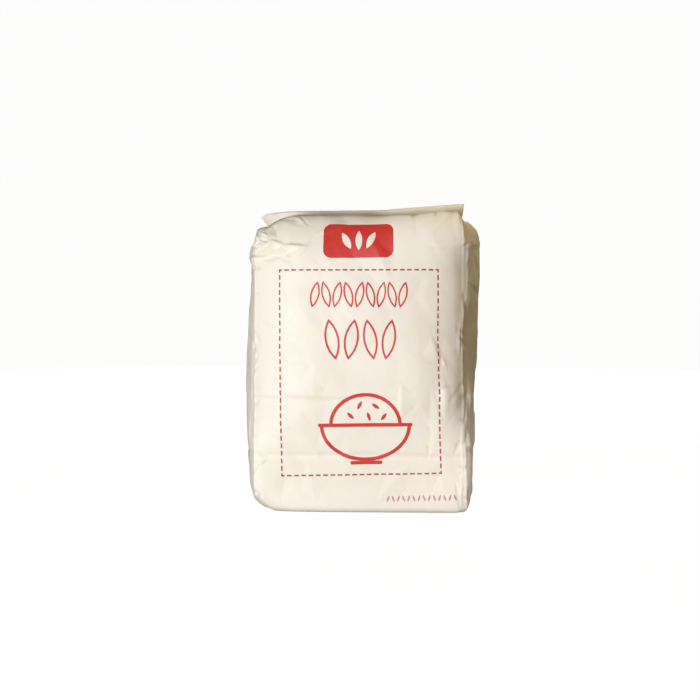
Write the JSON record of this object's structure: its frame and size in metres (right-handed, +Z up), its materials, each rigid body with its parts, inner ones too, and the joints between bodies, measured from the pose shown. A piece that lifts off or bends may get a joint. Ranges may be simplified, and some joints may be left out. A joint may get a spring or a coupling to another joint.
{
  "type": "bag of rice flour",
  "caption": "Filled paper flour bag, shut, standing on its flat block bottom, with bulging sides, round shoulders and a rolled upright closing strip along the top.",
  "frame": {"origin": "middle of the flat base the bag stands on", "axes": "+Z up, the bag's tallest way; the printed front faces -Y; +X to the right as seen from the front"},
  "size_m": [0.2305, 0.134, 0.2948],
  "materials": {
    "paper": "matte uncoated cream kraft paper with one-colour red print"
  },
  "bodies": {
    "root": {"bag": "paper"}
  },
  "joints": []
}
